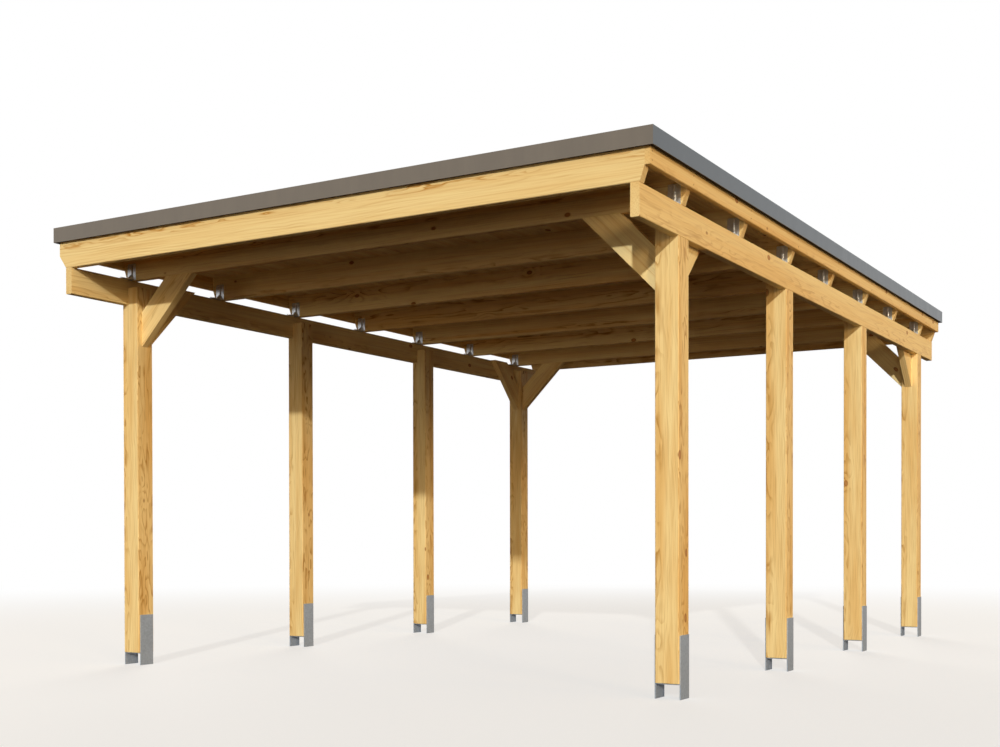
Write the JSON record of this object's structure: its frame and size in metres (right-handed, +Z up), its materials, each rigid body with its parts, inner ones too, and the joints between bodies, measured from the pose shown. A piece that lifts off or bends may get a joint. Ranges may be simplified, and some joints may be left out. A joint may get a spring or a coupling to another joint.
{
  "type": "carport",
  "caption": "Open timber carport with a flat roof, square posts on steel anchors, knee braces at the corners and a dark metal roof edge.",
  "frame": {"origin": "on the ground, at the middle of the roof's plan", "axes": "+Z up, +Y from the open front to the rear along the roof's length, +X to the right seen from the front"},
  "size_m": [3.73, 5.55, 2.53],
  "materials": {
    "post_timber": "planed, clear oiled spruce",
    "beam_timber": "planed, clear oiled spruce",
    "rafter_timber": "planed, clear oiled spruce",
    "fascia_timber": "planed, clear oiled spruce",
    "brace_timber": "planed, clear oiled spruce",
    "deck_timber": "planed boards",
    "galvanised_steel": "hot-dip galvanised",
    "bracket_steel": "bright galvanised sheet",
    "verge_sheet": "satin coated, grey-brown",
    "roof_membrane": "matt sheet"
  },
  "bodies": {
    "root": {"post_left_1": "post_timber", "anchor_left_1": "galvanised_steel", "post_left_2": "post_timber", "anchor_left_2": "galvanised_steel", "post_left_3": "post_timber", "anchor_left_3": "galvanised_steel", "post_left_4": "post_timber", "anchor_left_4": "galvanised_steel", "beam_left": "beam_timber", "fascia_left": "fascia_timber", "brace_front_left_across": "brace_timber", "brace_front_left_along": "brace_timber", "brace_rear_left_across": "brace_timber", "brace_rear_left_along": "brace_timber", "brackets_left": "bracket_steel", "post_right_1": "post_timber", "anchor_right_1": "galvanised_steel", "post_right_2": "post_timber", "anchor_right_2": "galvanised_steel", "post_right_3": "post_timber", "anchor_right_3": "galvanised_steel", "post_right_4": "post_timber", "anchor_right_4": "galvanised_steel", "beam_right": "beam_timber", "fascia_right": "fascia_timber", "brace_front_right_across": "brace_timber", "brace_front_right_along": "brace_timber", "brace_rear_right_across": "brace_timber", "brace_rear_right_along": "brace_timber", "brackets_right": "bracket_steel", "front_board": "rafter_timber", "rafter_1": "rafter_timber", "rafter_2": "rafter_timber", "rafter_3": "rafter_timber", "rafter_4": "rafter_timber", "rafter_5": "rafter_timber", "rafter_6": "rafter_timber", "rafter_7": "rafter_timber", "rear_board": "rafter_timber", "roof_deck": "deck_timber", "roof_covering": "roof_membrane", "verge_front": "verge_sheet", "verge_rear": "verge_sheet", "verge_left": "verge_sheet", "verge_right": "verge_sheet"}
  },
  "joints": []
}
